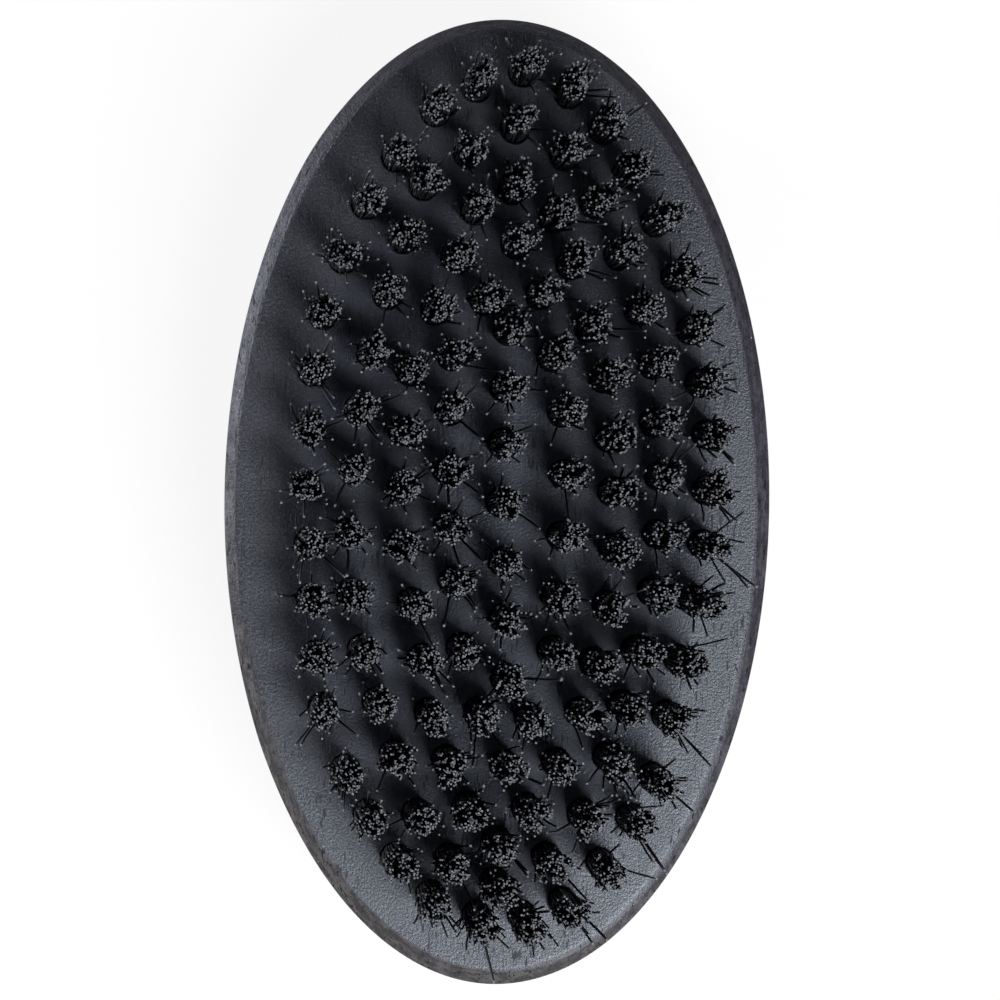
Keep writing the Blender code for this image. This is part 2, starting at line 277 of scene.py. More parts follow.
# The pixels where they end, for each tuft of a row
STRAY_END_PIXELS = {
    "outer": {
        0: ((506, 38), (555, 84), (536, 94), (546, 49)), 1: ((471, 57), (462, 63), (482, 54)),
        4: ((350, 178),), 5: ((313, 254), (322, 262), (347, 283), (366, 276)),
        6: ((316, 282), (302, 321), (326, 335), (350, 319)),
        7: ((308, 345), (331, 338), (335, 409), (334, 398)), 8: ((306, 407),),
        9: ((325, 464), (328, 470), (281, 503), (304, 517), (280, 491)),
        10: ((300, 583), (345, 577)), 12: ((333, 633), (299, 677)),
        13: ((327, 690), (353, 712), (358, 736)), 14: ((330, 793),), 15: ((369, 791),),
        17: ((448, 939), (457, 934), (462, 931)), 18: ((494, 983), (466, 952), (506, 931)),
        19: ((540, 900), (546, 906), (551, 911), (545, 951)),
        20: ((593, 944), (607, 940), (589, 935)), 21: ((621, 843), (657, 879), (595, 888)),
        22: ((667, 874), (665, 871), (654, 863), (610, 834), (619, 837), (660, 830)),
        23: ((677, 810), (694, 812), (685, 794), (628, 803), (677, 758)),
        24: ((712, 767), (703, 755), (689, 755), (683, 749)),
        25: ((692, 691), (699, 641), (699, 686)), 26: ((727, 582), (693, 634), (708, 638)),
        27: ((745, 511), (727, 585), (749, 589), (757, 587)),
        28: ((732, 524), (739, 522), (717, 467), (724, 467)),
        29: ((717, 412), (728, 420), (735, 461), (735, 465)),
        30: ((736, 361), (738, 379), (739, 393), (672, 399), (724, 396)),
        31: ((728, 303), (725, 307), (669, 333), (726, 347)),
        32: ((692, 240), (704, 250), (708, 265), (709, 273), (720, 279), (721, 285), (712, 297),
             (705, 298), (688, 300)), 34: ((661, 171), (666, 175)),
        35: ((635, 107), (631, 140), (612, 89)), 36: ((610, 89), (619, 97), (597, 78), (589, 61)),
    },
    "second": {
        0: ((502, 86), (539, 149), (555, 131)), 2: ((450, 153),),
        4: ((382, 325), (408, 317), (413, 309)),
        6: ((332, 419), (382, 444), (378, 435), (354, 445), (384, 424)),
        7: ((335, 506), (373, 482)),
        8: ((333, 557), (347, 576), (373, 544), (367, 554), (320, 518)),
        9: ((342, 614), (348, 619), (371, 616)), 10: ((365, 634), (344, 676)), 12: ((415, 786),),
        14: ((475, 908), (484, 851)), 16: ((564, 853), (568, 856), (589, 902)), 17: ((547, 833),),
        18: ((614, 745), (621, 753), (587, 784), (603, 790), (617, 796)),
        19: ((615, 736), (626, 733)), 20: ((623, 682), (655, 684)), 21: ((687, 611), (687, 604)),
        22: ((682, 551),), 23: ((655, 510), (679, 498), (687, 494), (684, 441), (696, 444)),
        24: ((678, 443), (690, 438), (648, 447)), 25: ((675, 385), (655, 386)), 26: ((645, 276),),
        27: ((623, 217), (626, 225), (646, 264), (639, 268)), 29: ((583, 123), (586, 173)),
    },
    "third": {
        0: ((556, 175), (522, 157), (529, 215)), 1: ((489, 174), (511, 223), (487, 240)),
        2: ((475, 232),), 4: ((399, 343), (408, 345)), 5: ((421, 408), (436, 417), (434, 430)),
        6: ((431, 464), (433, 470), (434, 502)), 8: ((402, 585), (387, 603)),
        9: ((398, 650), (442, 686)), 11: ((472, 752),), 12: ((484, 786),),
        13: ((506, 812), (528, 877), (528, 872)), 14: ((544, 796), (554, 804)), 15: ((547, 800),),
        19: ((624, 578),), 20: ((624, 465), (638, 466)), 23: ((646, 331), (622, 338)),
        24: ((563, 294), (616, 278), (605, 280)), 25: ((553, 178), (606, 224)),
    },
    "inner": {
        0: ((524, 266),), 1: ((478, 271), (490, 274), (494, 281)),
        3: ((461, 378), (482, 379), (483, 439)),
        4: ((446, 443), (472, 456), (438, 497), (449, 506), (483, 497)),
        5: ((464, 497), (434, 555), (460, 566), (485, 563)), 6: ((444, 626), (438, 592)),
        7: ((448, 677),), 8: ((473, 767), (505, 755)),
        9: ((544, 785), (529, 764), (530, 769), (529, 772)), 10: ((522, 753), (542, 699)),
        11: ((562, 679),), 12: ((540, 613), (546, 630), (571, 634), (576, 615)),
        13: ((535, 541), (549, 559), (587, 550)), 14: ((588, 489),), 15: ((563, 385), (551, 445)),
        16: ((537, 327),), 17: ((537, 268), (551, 270), (580, 301)),
    },
    "middle": {
        0: ((522, 305),), 1: ((510, 368), (529, 377), (487, 414), (509, 415), (515, 414)),
        2: ((505, 422), (509, 423), (485, 466)), 3: ((540, 529),),
        4: ((513, 540), (501, 592), (504, 587)), 5: ((494, 642), (500, 650)),
        6: ((484, 702), (527, 704), (562, 680)),
    },
}

# How far a few of them bow to their left on their way out, in millimetres
STRAY_BOWS = {(628, 803): -0.55, (320, 518): -0.40, (547, 833): 0.30, (335, 506): -0.20}

# Patterns of the wood: the sizes of their features along X, Y and Z, their detail and their
# roughness. The rim's streaks run round it, laid out on a round of the radius given.
WOOD_NOISES = {
    "grain": ((0.20 * MM, 3.5 * MM, 0.20 * MM), 3.0, 0.55),
    "saw_marks": ((3.5 * MM, 0.24 * MM, 3.5 * MM), 2.0, 0.55),
    "streaks": ((1.6 * MM, 30.0 * MM, 1.6 * MM), 2.0, 0.55),
    "pebbles": ((0.25 * MM, 0.27 * MM, 0.25 * MM), 3.0, 0.60),
    "cloud": ((7.0 * MM, 9.0 * MM, 7.0 * MM), 2.0, 0.55),
    "pore_shapes": ((0.24 * MM, 1.5 * MM, 0.24 * MM), 1.0, 0.55),
    "pore_places": ((3.0 * MM, 9.0 * MM, 3.0 * MM), 1.0, 0.55),
    "wear_breaks": ((0.5 * MM, 1.2 * MM, 0.5 * MM), 3.0, 0.55),
    "rim_mottle": ((0.45 * MM, 0.7 * MM, 0.45 * MM), 4.0, 0.65),
    "rim_pit_shapes": ((0.26 * MM, 0.40 * MM, 0.26 * MM), 1.0, 0.55),
}
RIM_STREAK_NOISE = ((2.2 * MM, 2.2 * MM, 0.16 * MM), 3.0, 0.65)
RIM_TURN_RADIUS = 40 * MM
DUST_SPACING = 2.2 * MM

# Masks of the wood: the values of a pattern or measure between which each grows, and its two ends
# where it doesn't go from 0 to 1. The rim is paler and warmer towards the -Y end, and the face and
# rim are painted darker towards the +Y end as painted shade, away from the key lamp, by the way
# along plus a share of the way across, and the rim more so by the way along alone. Among the tufts
# the wood is painted darker and bluer as painted shade of the tufts, by the way out from the middle
# of the face, as a share of the way to the outline.
WOOD_MASKS = {
    "cloudy": (0.35, 0.65),
    "pore_shapes": (0.625, 0.66),
    "pore_places": (0.46, 0.55),
    "rim_pits": (0.62, 0.67, 0.0, 0.85),
    "rim_tone": (0.45, 0.58),
    "rim_relief": (0.3, 0.7, 0.0, 3.0),
    "wear_breaks": (0.40, 0.75),
    "dust_size": (0.035, 0.060, 1.0, 0.0),
    "dust_chosen": (0.35, 0.95),
    "paler_end": (-10.0 * MM, -42.0 * MM),
    "painted_shade_end": (15.0 * MM, 50.0 * MM, 0.0, 0.50),
    "painted_shade_rim": (15.0 * MM, 40.0 * MM, 0.0, 0.40),
    "painted_shade_among_tufts": (0.80, 0.66, 0.0, 0.52),
}
END_SLANT = 0.8
RIM_SHARE, RIM_STREAKS_SHARE, RIM_MOTTLE_SHARE = 0.92, 0.7, 0.3
WEAR_SHARE, DUST_SHARE = 0.12, 0.8

# Colours of the wood. The layers are laid on the stain in turn: for each its pattern, the values at
# which it begins and is full, its share there and its colour.
STAIN_DARK, STAIN_LIGHT = (0.014, 0.013, 0.018), (0.021, 0.020, 0.027)
STAIN_LAYERS = (
    ("grain", 0.35, 0.70, 0.65, (0.043, 0.042, 0.053)),
    ("saw_marks", 0.44, 0.60, 0.50, (0.011, 0.011, 0.013)),
    ("streaks", 0.40, 0.62, 0.40, (0.012, 0.012, 0.015)),
    ("pebbles", 0.45, 0.68, 0.85, (0.073, 0.072, 0.086)),
)
# Painted shade: the bluish dark that the wood is painted among the tufts, where they shade it
PAINTED_SHADE_AMONG_TUFTS_COLOUR = (0.0047, 0.0057, 0.0245)
RIM_DARK, PALER_END_RIM_DARK = (0.017, 0.015, 0.022), (0.030, 0.027, 0.028)
RIM_LIGHT, PALER_END_RIM_LIGHT = (0.061, 0.055, 0.071), (0.080, 0.072, 0.072)
RIM_PIT_COLOUR = (0.006, 0.005, 0.008)
# Painted shade: the dark that the face and rim are painted towards the +Y end, away from the key
# lamp
PAINTED_SHADE_END_COLOUR = (0.008, 0.0075, 0.011)
WORN_EDGE_COLOUR = (0.130, 0.127, 0.135)
DUST_COLOUR = (0.35, 0.35, 0.37)
PORE_COLOUR = (0.002, 0.002, 0.003)

# Roughness and relief of the wood: for each pattern the values between which it counts, and what it
# adds at the first and at the second
WOOD_ROUGHNESS = 0.48
WOOD_TINT = (0.80, 0.89, 1.0, 1.0)
ROUGHNESS_LAYERS = (
    ("grain", 0.3, 0.7, 0.36, 0.44),
    ("cloud", 0.3, 0.7, -0.02, 0.03),
    ("pebbles", 0.3, 0.7, -0.06, 0.07),
    ("rim", 0.0, 1.0, 0.0, 0.06),
)
PORE_ROUGHER = 0.3
RELIEF_LAYERS = (
    ("grain", 0.2, 0.8, 0.0, 0.55),
    ("saw_marks", 0.2, 0.8, 0.0, 0.10),
    ("pebbles", 0.2, 0.8, 0.0, 2.4),
)
PORE_DEPTH = 0.6
RELIEF_HEIGHT = 0.018 * MM

# Bristles: a near-black shaft, painted paler towards its pale cut end as a painted highlight of
# light caught on the upper shaft. For each their noise, and the ramps over it and over each
# strand's own tone.
SHAFT_ROUGHNESS, SHAFT_GLOSS = 0.42, 0.38
SHAFT_NOISE = ((0.12 * MM, 0.12 * MM, 1.4 * MM), 2.0)
SHAFT_UNEVEN, SHAFT_ROUGH = (0.5, 0.8, 0.0, 0.5), (0.3, 0.7, 0.36, 0.50)
SHAFT_HIGHLIGHT_BY_TONE = (0.0, 1.0, 0.25, 1.0)
SHAFT_DARK, SHAFT_LIGHT = (0.0096, 0.0098, 0.0120), (0.0285, 0.0290, 0.0335)
SHAFT_UNEVEN_COLOUR = (0.0160, 0.0160, 0.0175)
# Painted highlight: the paler colour up the end of each shaft, for light caught there
SHAFT_HIGHLIGHT_COLOUR = (0.090, 0.094, 0.108)
TIP_ROUGHNESS = 0.6
TIP_NOISE = ((0.06 * MM, 0.06 * MM, 0.06 * MM), 2.0)
TIP_MOTTLE, TIP_ROUGH = (0.4, 0.7, 0.0, 0.4), (0.3, 0.7, 0.5, 0.7)
TIP_DARK, TIP_LIGHT = (0.076, 0.079, 0.091), (0.158, 0.166, 0.191)
TIP_MOTTLE_COLOUR = (0.05, 0.053, 0.06)
TIP_TONE_POWER = 1.3


def new_object(name, mesh, materials):
    made = bpy.data.objects.new(name, mesh)
    bpy.context.scene.collection.objects.link(made)
    for material in materials:
        mesh.materials.append(material)
    return made


def finished(work, name):
    """The mesh of what was built."""
    mesh = bpy.data.meshes.new(name)
    work.to_mesh(mesh)
    work.free()
    return mesh


def ring(work, radius, height, sides, x=0.0, y=0.0):
    """A level ring of vertices round a point."""
    turns = [2 * math.pi * side / sides for side in range(sides)]
    places = [(x + radius * math.cos(turn), y + radius * math.sin(turn), height) for turn in turns]
    return [work.verts.new(place) for place in places]


def band(work, first, second):
    """Faces all round between two rings."""
    for here in range(len(first)):
        after = (here + 1) % len(first)
        work.faces.new((first[here], first[after], second[after], second[here]))


def flat_ways(angles):
    """The way that each angle points, seen from above."""
    return np.stack([np.cos(angles), np.sin(angles)], axis=1)


def waves(angle, terms):
    """The sum, at this angle, of waves that run round the outline."""
    return sum(size * math.cos(count * angle - math.radians(peak)) for count, size, peak in terms)


def rounded_corner(before, corner, after, radius):
    """The arc that rounds a corner of a profile, from one tangent point to the other."""
    way_in = (corner - before).normalized()
    way_out = (after - corner).normalized()
    reach = radius * math.tan(way_in.angle(way_out) / 2)
    start, end = corner - way_in * reach, corner + way_out * reach
    shares = [step / SOFT_CORNER_STEPS for step in range(SOFT_CORNER_STEPS + 1)]
    return [(1 - s) ** 2 * start + 2 * s * (1 - s) * corner + s**2 * end for s in shares]


def block_profile(angle):
    """The points of the block's profile at one angle, from the flat back up to the flat face.

    Each point is its inset and its height. With them come how worn each is and its share of rim.
    """
    sanded = max(0.0, waves(angle, SANDING_WAVES))
    back = []
    for step in range(BACK_ROUND_STEPS + 1):
        turn = math.pi / 2 * step / BACK_ROUND_STEPS
        height = BACK_ROUND_RISE * (1 - math.cos(turn))
        share = height / BLOCK_HEIGHT
        back.append(Vector((BACK_ROUND_REACH * (1 - math.sin(turn)) + sanded * share, height)))
    width = EDGE_BREAK_WIDTH + waves(angle, EDGE_WAVES)
    side_top = Vector((SIDE_LEAN + sanded, BLOCK_HEIGHT - EDGE_BREAK_DEPTH))
    face_edge = Vector((SIDE_LEAN + width, BLOCK_HEIGHT))
    face_inner = face_edge + Vector((FACE_BORDER, 0.0))
    lower_corner = rounded_corner(back[-1], side_top, face_edge, EDGE_LOWER_RADIUS)
    upper_radius = EDGE_UPPER_RADIUS + waves(angle, EDGE_UPPER_WAVES)
    upper_corner = rounded_corner(side_top, face_edge, face_inner, upper_radius)
    side = [back[-1].lerp(lower_corner[0], step / SIDE_STEPS) for step in range(1, SIDE_STEPS)]
    slope_middle = lower_corner[-1].lerp(upper_corner[0], 0.5)
    face = [face_inner.lerp(face_edge, FACE_LOOP_SHARE), face_inner]
    points = back + side + lower_corner + [slope_middle] + upper_corner + face
    wear = [0.0] * len(points)
    for corner in (lower_corner, upper_corner):
        first = points.index(corner[0])
        for step in range(SOFT_CORNER_STEPS + 1):
            wear[first + step] = math.sin(math.pi * step / SOFT_CORNER_STEPS) ** 0.5
    rim = [1.0] * len(points)
    first = points.index(upper_corner[0])
    for place in range(first, len(points)):
        across = min(1.0, (place - first) / SOFT_CORNER_STEPS)
        rim[place] = 1.0 - across**2 * (3 - 2 * across)
    return points, wear, rim


def hole_cutter(centres):
    """All the tuft holes as one mesh of closed cylinders, each opening out a little at the face."""
    work = bmesh.new()
    levels = (
        (HOLE_RADIUS, BLOCK_HEIGHT - HOLE_DEPTH),
        (HOLE_RADIUS, BLOCK_HEIGHT - HOLE_BREAK),
        (HOLE_RADIUS + HOLE_BREAK + CUTTER_RISE, BLOCK_HEIGHT + CUTTER_RISE),
    )
    for x, y in centres:
        rings = [ring(work, radius, height, HOLE_SIDES, x, y) for radius, height in levels]
        for lower, upper in zip(rings, rings[1:]):
            band(work, lower, upper)
        work.faces.new(rings[0][::-1])
        work.faces.new(rings[-1])
    return new_object("tuft_holes", finished(work, "tuft_holes"), ())


def make_block(centres, materials):
    """The block, lofted from ovals and drilled for the tufts."""
    work = bmesh.new()
    wear_layer = work.verts.layers.float.new("edge_wear")
    rim_layer = work.verts.layers.float.new("rim")
    run_layer = work.verts.layers.float_vector.new("rim_run")
    columns = []
    for step in range(OUTLINE_STEPS):
        angle = 2 * math.pi * step / OUTLINE_STEPS
        turn = Vector((math.cos(angle), math.sin(angle), 0.0)) * RIM_TURN_RADIUS
        column = []
        for point, wear, rim in zip(*block_profile(angle)):
            x = (BLOCK_WIDTH / 2 - point.x) * math.cos(angle)
            y = (BLOCK_LENGTH / 2 - point.x) * math.sin(angle)
            corner = work.verts.new((x, y, point.y))
            corner[wear_layer] = wear
            corner[rim_layer] = rim
            corner[run_layer] = turn + Vector((0.0, 0.0, point.x - point.y))
            column.append(corner)
        columns.append(column)
    for here, after in zip(columns, columns[1:] + columns[:1]):
        for level in range(len(here) - 1):
            made = work.faces.new((here[level], after[level], after[level + 1], here[level + 1]))
            rim = here[level][rim_layer]
            made.material_index = sum(rim > share for share in (CORNER_FROM, RIM_FROM))
    back = work.faces.new([column[0] for column in reversed(columns)])
    back.material_index = RIM_MATERIAL
    work.faces.new([column[-1] for column in columns])
    block = new_object("block", finished(work, "block"), materials)
    cutter = hole_cutter(centres)
    drill = block.modifiers.new("holes", "BOOLEAN")
    drill.operation = "DIFFERENCE"
    drill.solver = "EXACT"
    drill.object = cutter
    evaluated = block.evaluated_get(bpy.context.evaluated_depsgraph_get())
    drilled = bpy.data.meshes.new_from_object(evaluated)
    block.modifiers.clear()
    block.data = drilled
    bpy.data.objects.remove(cutter, do_unlink=True)
    block.data.shade_smooth()
    block.data.set_sharp_from_angle(angle=SHARP_ANGLE)
    return block


def spaced_oval(half_width, half_length, shift_y, spacing):
    """Tuft centres at even steps along an oval, from its +Y end round by -X."""
    angles = np.linspace(0, 2 * math.pi, OVAL_SAMPLES)
    sines, cosines = np.sin(angles), np.cos(angles)
    x = -half_width * np.sign(sines) * np.abs(sines) ** (2 / OVAL_POWER)
    y = half_length * np.sign(cosines) * np.abs(cosines) ** (2 / OVAL_POWER)
    run = np.concatenate([[0], np.cumsum(np.hypot(np.diff(x), np.diff(y)))])
    count = int(run[-1] / spacing)
    stops = run[-1] * np.arange(count) / count
    across = np.interp(stops, run, x) + ROWS_SHIFT_X
    along = np.interp(stops, run, y) + shift_y
    return np.stack([across, along], axis=1)


def wander(row_name, count):
    """How far each tuft of a row wanders from its even place, blended between those given."""
    given, across, along = np.array(ROW_WANDER[row_name]).T
    index = np.arange(count)
    period = count if row_name != "middle" else None
    steps = [np.interp(index, given, values, period=period) for values in (across, along)]
    return np.stack(steps, axis=1) * MM


def tuft_rows():
    """Each row's name and tuft centres."""
    half_width = BLOCK_WIDTH / 2 - OUTER_ROW_SIDE_INSET
    half_length = BLOCK_LENGTH / 2 - OUTER_ROW_END_INSET
    innermost = len(ROW_NAMES) - 1
    side_pitch = half_width / (innermost + MIDDLE_PITCHES)
    rows = []
    for place, row_name in enumerate(ROW_NAMES):
        drawn_in = INNER_ROW_DRAWN_IN if place == innermost else 0.0
        row_half_width = half_width - place * side_pitch
        reach = half_length - place * ROW_END_PITCH - drawn_in
        centres = spaced_oval(row_half_width, reach, ROW_SHIFTS_Y[place], TUFT_SPACINGS[place])
        centres = centres * ROWS_STRETCHED + ROWS_SET_OVER + wander(row_name, len(centres))
        rows.append((row_name, centres))
    gaps = round(2 * (reach - MIDDLE_ROW_END_GAP) / MIDDLE_ROW_SPACING)
    along = (gaps / 2 - np.arange(gaps + 1)) * MIDDLE_ROW_SPACING
    middle = np.stack([np.full(gaps + 1, ROWS_SHIFT_X), along], axis=1)
    middle = middle * ROWS_STRETCHED + ROWS_SET_OVER + wander("middle", gaps + 1)
    rows.append(("middle", middle))
    return rows


def head_outline(angles, draw):
    """How far a tuft's head reaches at each angle, as a share of its radius: an uneven round."""
    reach = np.ones_like(angles)
    for lobes, size in HEAD_LOBES:
        size *= draw.uniform(HEAD_LOBE_LEAST, 1.0)
        reach += size * np.cos(lobes * angles - draw.uniform(0, 2 * math.pi))
    return reach


def place_seen(camera, pixel, height):
    """The place at this height that the photograph shows at this pixel."""
    focal = camera.data.lens / SENSOR_WIDTH
    right = (pixel[0] / PHOTO_SIZE - 0.5) / focal
    up = (0.5 - pixel[1] / PHOTO_SIZE) / focal
    way = camera.matrix_world.to_3x3() @ Vector((right, up, -1.0))
    start = camera.matrix_world.translation
    return start + way * ((height - start.z) / way.z)


def stray_end(camera, pixel, centre):
    """Where a stray from this tuft ends, so that the camera sees its end at this pixel."""
    length = STRAND_LENGTH - STRAY_SHORTER
    height = BLOCK_HEIGHT + BRISTLE_LENGTH
    for _ in range(STRAY_SOLVE_STEPS):
        end = place_seen(camera, pixel, height)
        away = min(math.dist(end.xy, centre), STRAY_LEAN_MOST * length)
        height = ROOT_LEVEL + math.sqrt(length**2 - away**2)
    return np.array(end)


def clumped(tips, share_pulled, draw):
    """Draws the ends together on short lines."""
    middles = tips[draw.choice(len(tips), CLUMPS, replace=False)]
    halves = flat_ways(draw.uniform(0, math.pi, CLUMPS)) * CLUMP_HALF_LENGTH
    along = ((tips[:, None] - middles[None]) * halves[None]).sum(axis=2) / CLUMP_HALF_LENGTH**2
    feet = middles[None] + np.clip(along, -1, 1)[..., None] * halves[None]
    nearest = np.linalg.norm(tips[:, None] - feet, axis=2).argmin(axis=1)
    return tips + (feet[np.arange(len(tips)), nearest] - tips) * share_pulled[:, None]


def side_by_side(tips):
    """Pushes ends that crowd each other apart, until they stand side by side."""
    for _ in range(TIP_GAP_STEPS):
        apart = tips[:, None] - tips[None]
        gaps = np.linalg.norm(apart, axis=2) + TIP_GAP * np.eye(len(tips))
        push = np.maximum(0.0, TIP_GAP / gaps - 1) / 2
        tips = tips + (apart * push[..., None]).sum(axis=1) * TIP_GAP_DAMPING
    return tips


def head_tips(outward, angle, share, draw):
    """Where a tuft's strands end, seen from above: a clumped, uneven round that leans a little."""
    lean_angle = draw.uniform(0, 2 * math.pi)
    lean = np.array([math.cos(lean_angle), math.sin(lean_angle)]) * TUFT_LEAN
    lean *= math.sqrt(draw.uniform())
    head_radius = HEAD_RADIUS * (1 + draw.uniform(-1, 1) * HEAD_RADIUS_SPREAD)
    tips = outward * (share * head_outline(angle, draw) * head_radius)[:, None]
    tips = clumped(tips, draw.uniform(CLUMP_PULL_LEAST, CLUMP_PULL_MOST, len(tips)), draw)
    return side_by_side(tips + draw.normal(0, TIP_SPREAD, tips.shape)) + lean


def loose_reach(angle, share, draw):
    """How far whiskers and strays lean out past the head, and at which angles.

    Both are commoner towards the edge of a tuft. Other strands get 0.
    """
    count = len(angle)
    toward_edge = 2 * share**2
    whiskers = draw.uniform(size=count) < WHISKER_SHARE * toward_edge
    strays = draw.uniform(size=count) < STRAY_SHARE * toward_edge
    whisker_reach = draw.exponential(WHISKER_REACH, count) * whiskers
    stray_reach = draw.exponential(STRAY_REACH, count) * strays
    further = np.minimum(whisker_reach + stray_reach, STRAY_REACH_MOST)
    bundles = draw.uniform(0, 2 * math.pi, WHISKER_BUNDLES)
    off_bundle = (angle[:, None] - bundles[None] + math.pi) % (2 * math.pi) - math.pi
    off_least = off_bundle[np.arange(count), np.abs(off_bundle).argmin(axis=1)]
    return further, angle - BUNDLE_PULL * off_least + draw.normal(0, BUNDLE_SPREAD, count)


def kept_after_cut(angle, share, draw):
    """How much of its line each strand keeps. More are cut short on the low side of the tuft."""
    low_side = -share * np.cos(angle - TALL_SIDE_TURN - draw.uniform(-1, 1) * TALL_SIDE_SPREAD)
    short_share = np.interp(low_side, LOW_SIDE_STOPS, SHORT_SHARE_STOPS)
    is_short = draw.uniform(size=len(angle)) < short_share
    return 1 - draw.uniform(SHORT_CUT_LEAST, SHORT_CUT_MOST, len(angle)) * is_short


def tuft_lines(centre, stray_ends, draw):
    """The middle lines of a tuft's strands, from hole to head, and how stout each strand is."""
    count = int(draw.integers(STRANDS_LEAST, STRANDS_MOST, endpoint=True))
    order = np.arange(count)
    share = np.sqrt((order + 0.5) / count)
    angle = order * math.pi * GOLDEN_HALF_TURNS + draw.uniform(0, 2 * math.pi)
    outward = flat_ways(angle)
    roots = outward * share[:, None] * ROOT_RADIUS
    tips = head_tips(outward, angle, share, draw)
    bows = draw.normal(0, TIP_BOW, (count, 2))
    heights = STRAND_LENGTH - draw.uniform(TIP_DROP_LEAST, TIP_DROP_MOST, count)

    further, turned = loose_reach(angle, share, draw)
    tips += flat_ways(turned) * further[:, None]
    bows += draw.normal(0, STRAY_BOW, (count, 2)) * np.minimum(1, further / STRAY_REACH)[:, None]
    away = np.linalg.norm(tips - roots, axis=1)
    left_to_rise = np.sqrt(np.maximum(0, STRAND_LENGTH**2 - LEAN_LOWERS * away**2))
    heights = np.minimum(heights, left_to_rise)
    kept = kept_after_cut(angle, share, draw)

    # The strand that ends nearest to each stray of the photograph becomes that stray
    straight = np.zeros(count)
    for end, bow in stray_ends:
        gaps = np.linalg.norm(tips - (end[:2] - centre), axis=1) + straight
        chosen = gaps.argmin()
        tips[chosen] = end[:2] - centre
        roots[chosen] = -STRAY_ROOT * ROOT_RADIUS * tips[chosen] / np.linalg.norm(tips[chosen])
        heights[chosen] = end[2] - ROOT_LEVEL
        kept[chosen] = 1.0
        straight[chosen] = 1.0
        way = tips[chosen] / np.linalg.norm(tips[chosen])
        bows[chosen] += np.array([-way[1], way[0]]) * bow * MM

    rise = kept[:, None] * STATION_SHARES[None]
    splay = SPLAY_STRAIGHT * rise + (1 - SPLAY_STRAIGHT) * rise**SPLAY_POWER
    splay += straight[:, None] * (rise - splay)
    flat = roots[:, None] + (tips - roots)[:, None] * splay[..., None]
    flat = flat + bows[:, None] * np.sin(math.pi * rise**BOW_POWER)[..., None]
    lines = np.zeros((count, STATIONS, 3))
    lines[..., :2] = flat + centre
    lines[..., 2] = ROOT_LEVEL + heights[:, None] * rise
    return lines, 1 + STRAY_STOUTER * straight


def strand_mesh(name, lines, stoutness, draw):
    """Closed tubes round the lines, with a slanting cut end in the second material."""
    count = len(lines)
    along = np.gradient(lines, axis=1)
    along /= np.linalg.norm(along, axis=2, keepdims=True)
    facing = draw.uniform(0, 2 * math.pi, count)
    side = np.stack([np.cos(facing), np.sin(facing), np.zeros(count)], axis=1)[:, None]
    across = side - (side * along).sum(axis=2, keepdims=True) * along
    across /= np.linalg.norm(across, axis=2, keepdims=True)
    over = np.cross(along, across)
    turns = 2 * math.pi * np.arange(STRAND_SIDES) / STRAND_SIDES
    size = STRAND_RADIUS * stoutness * (1 + STRAND_RADIUS_SPREAD * draw.uniform(-1, 1, count))
    radii = size[:, None] * (1 - (1 - STRAND_TAPER) * STATION_SHARES)[None]
    spokes = np.cos(turns)[:, None] * across[:, :, None] + np.sin(turns)[:, None] * over[:, :, None]
    rings = lines[:, :, None] + spokes * radii[:, :, None, None]
    slant = draw.uniform(0, TIP_CUT_TILT, count)[:, None] * np.cos(turns)[None] * radii[:, -1:]
    rings[:, -1] += (slant - slant.max(axis=1, keepdims=True))[..., None] * along[:, -1:]
    index = np.arange(count * STATIONS * STRAND_SIDES).reshape(count, STATIONS, STRAND_SIDES)
    lower, upper = index[:, :-1], index[:, 1:]
    after_lower, after_upper = np.roll(lower, -1, 2), np.roll(upper, -1, 2)
    sides = np.stack([lower, after_lower, after_upper, upper], axis=-1).reshape(-1, 4)
    faces = sides.tolist() + index[:, 0, ::-1].tolist() + index[:, -1].tolist()
    mesh = bpy.data.meshes.new(name)
    mesh.from_pydata(rings.reshape(-1, 3).tolist(), [], faces)
    is_cap = np.arange(len(faces)) >= len(sides)
    is_tip = np.arange(len(faces)) >= len(sides) + count
    mesh.polygons.foreach_set("use_smooth", ~is_cap)
    mesh.polygons.foreach_set("material_index", is_tip.astype(np.int32))
    tone = mesh.attributes.new("tone", "FLOAT", "POINT")
    tones = np.repeat(draw.uniform(0, 1, count), STATIONS * STRAND_SIDES)
    tone.data.foreach_set("value", tones.astype(np.float32))
    # How far up each strand the painted highlight of its upper shaft reaches
    shaft_highlight = mesh.attributes.new("shaft_highlight", "FLOAT", "POINT")
    highlight_along = np.interp(STATION_SHARES, SHAFT_HIGHLIGHT_STOPS, SHAFT_HIGHLIGHT_SHARES)
    highlight_values = np.tile(np.repeat(highlight_along, STRAND_SIDES), count)
    shaft_highlight.data.foreach_set("value", highlight_values.astype(np.float32))
    mesh.update()
    return mesh


def make_tufts(rows, camera, materials):
    """The bristles of each strip of tufts, as one piece that stands for that strip's solid."""
    draw = np.random.default_rng(SEED)
    for row_name, centres in rows:
        groups = np.array_split(np.arange(len(centres)), len(centres) // TUFTS_ON_STRIP)
        for number, group in enumerate(groups, start=1):
            tufts = []
            for tuft in group:
                centre = centres[tuft]
                ends = [
                    (stray_end(camera, pixel, centre), STRAY_BOWS.get(pixel, 0.0))
                    for pixel in STRAY_END_PIXELS[row_name].get(int(tuft), ())
                ]
                tufts.append(tuft_lines(centre, ends, draw))
            lines, stoutness = (np.concatenate(parts) for parts in zip(*tufts))
            name = f"{row_name}_row_bristles_{number:02d}"
            piece = new_object(name, strand_mesh(name, lines, stoutness, draw), materials)
            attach(piece, "root")
            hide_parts(f"{row_name}_row_tufts_{number:02d}")


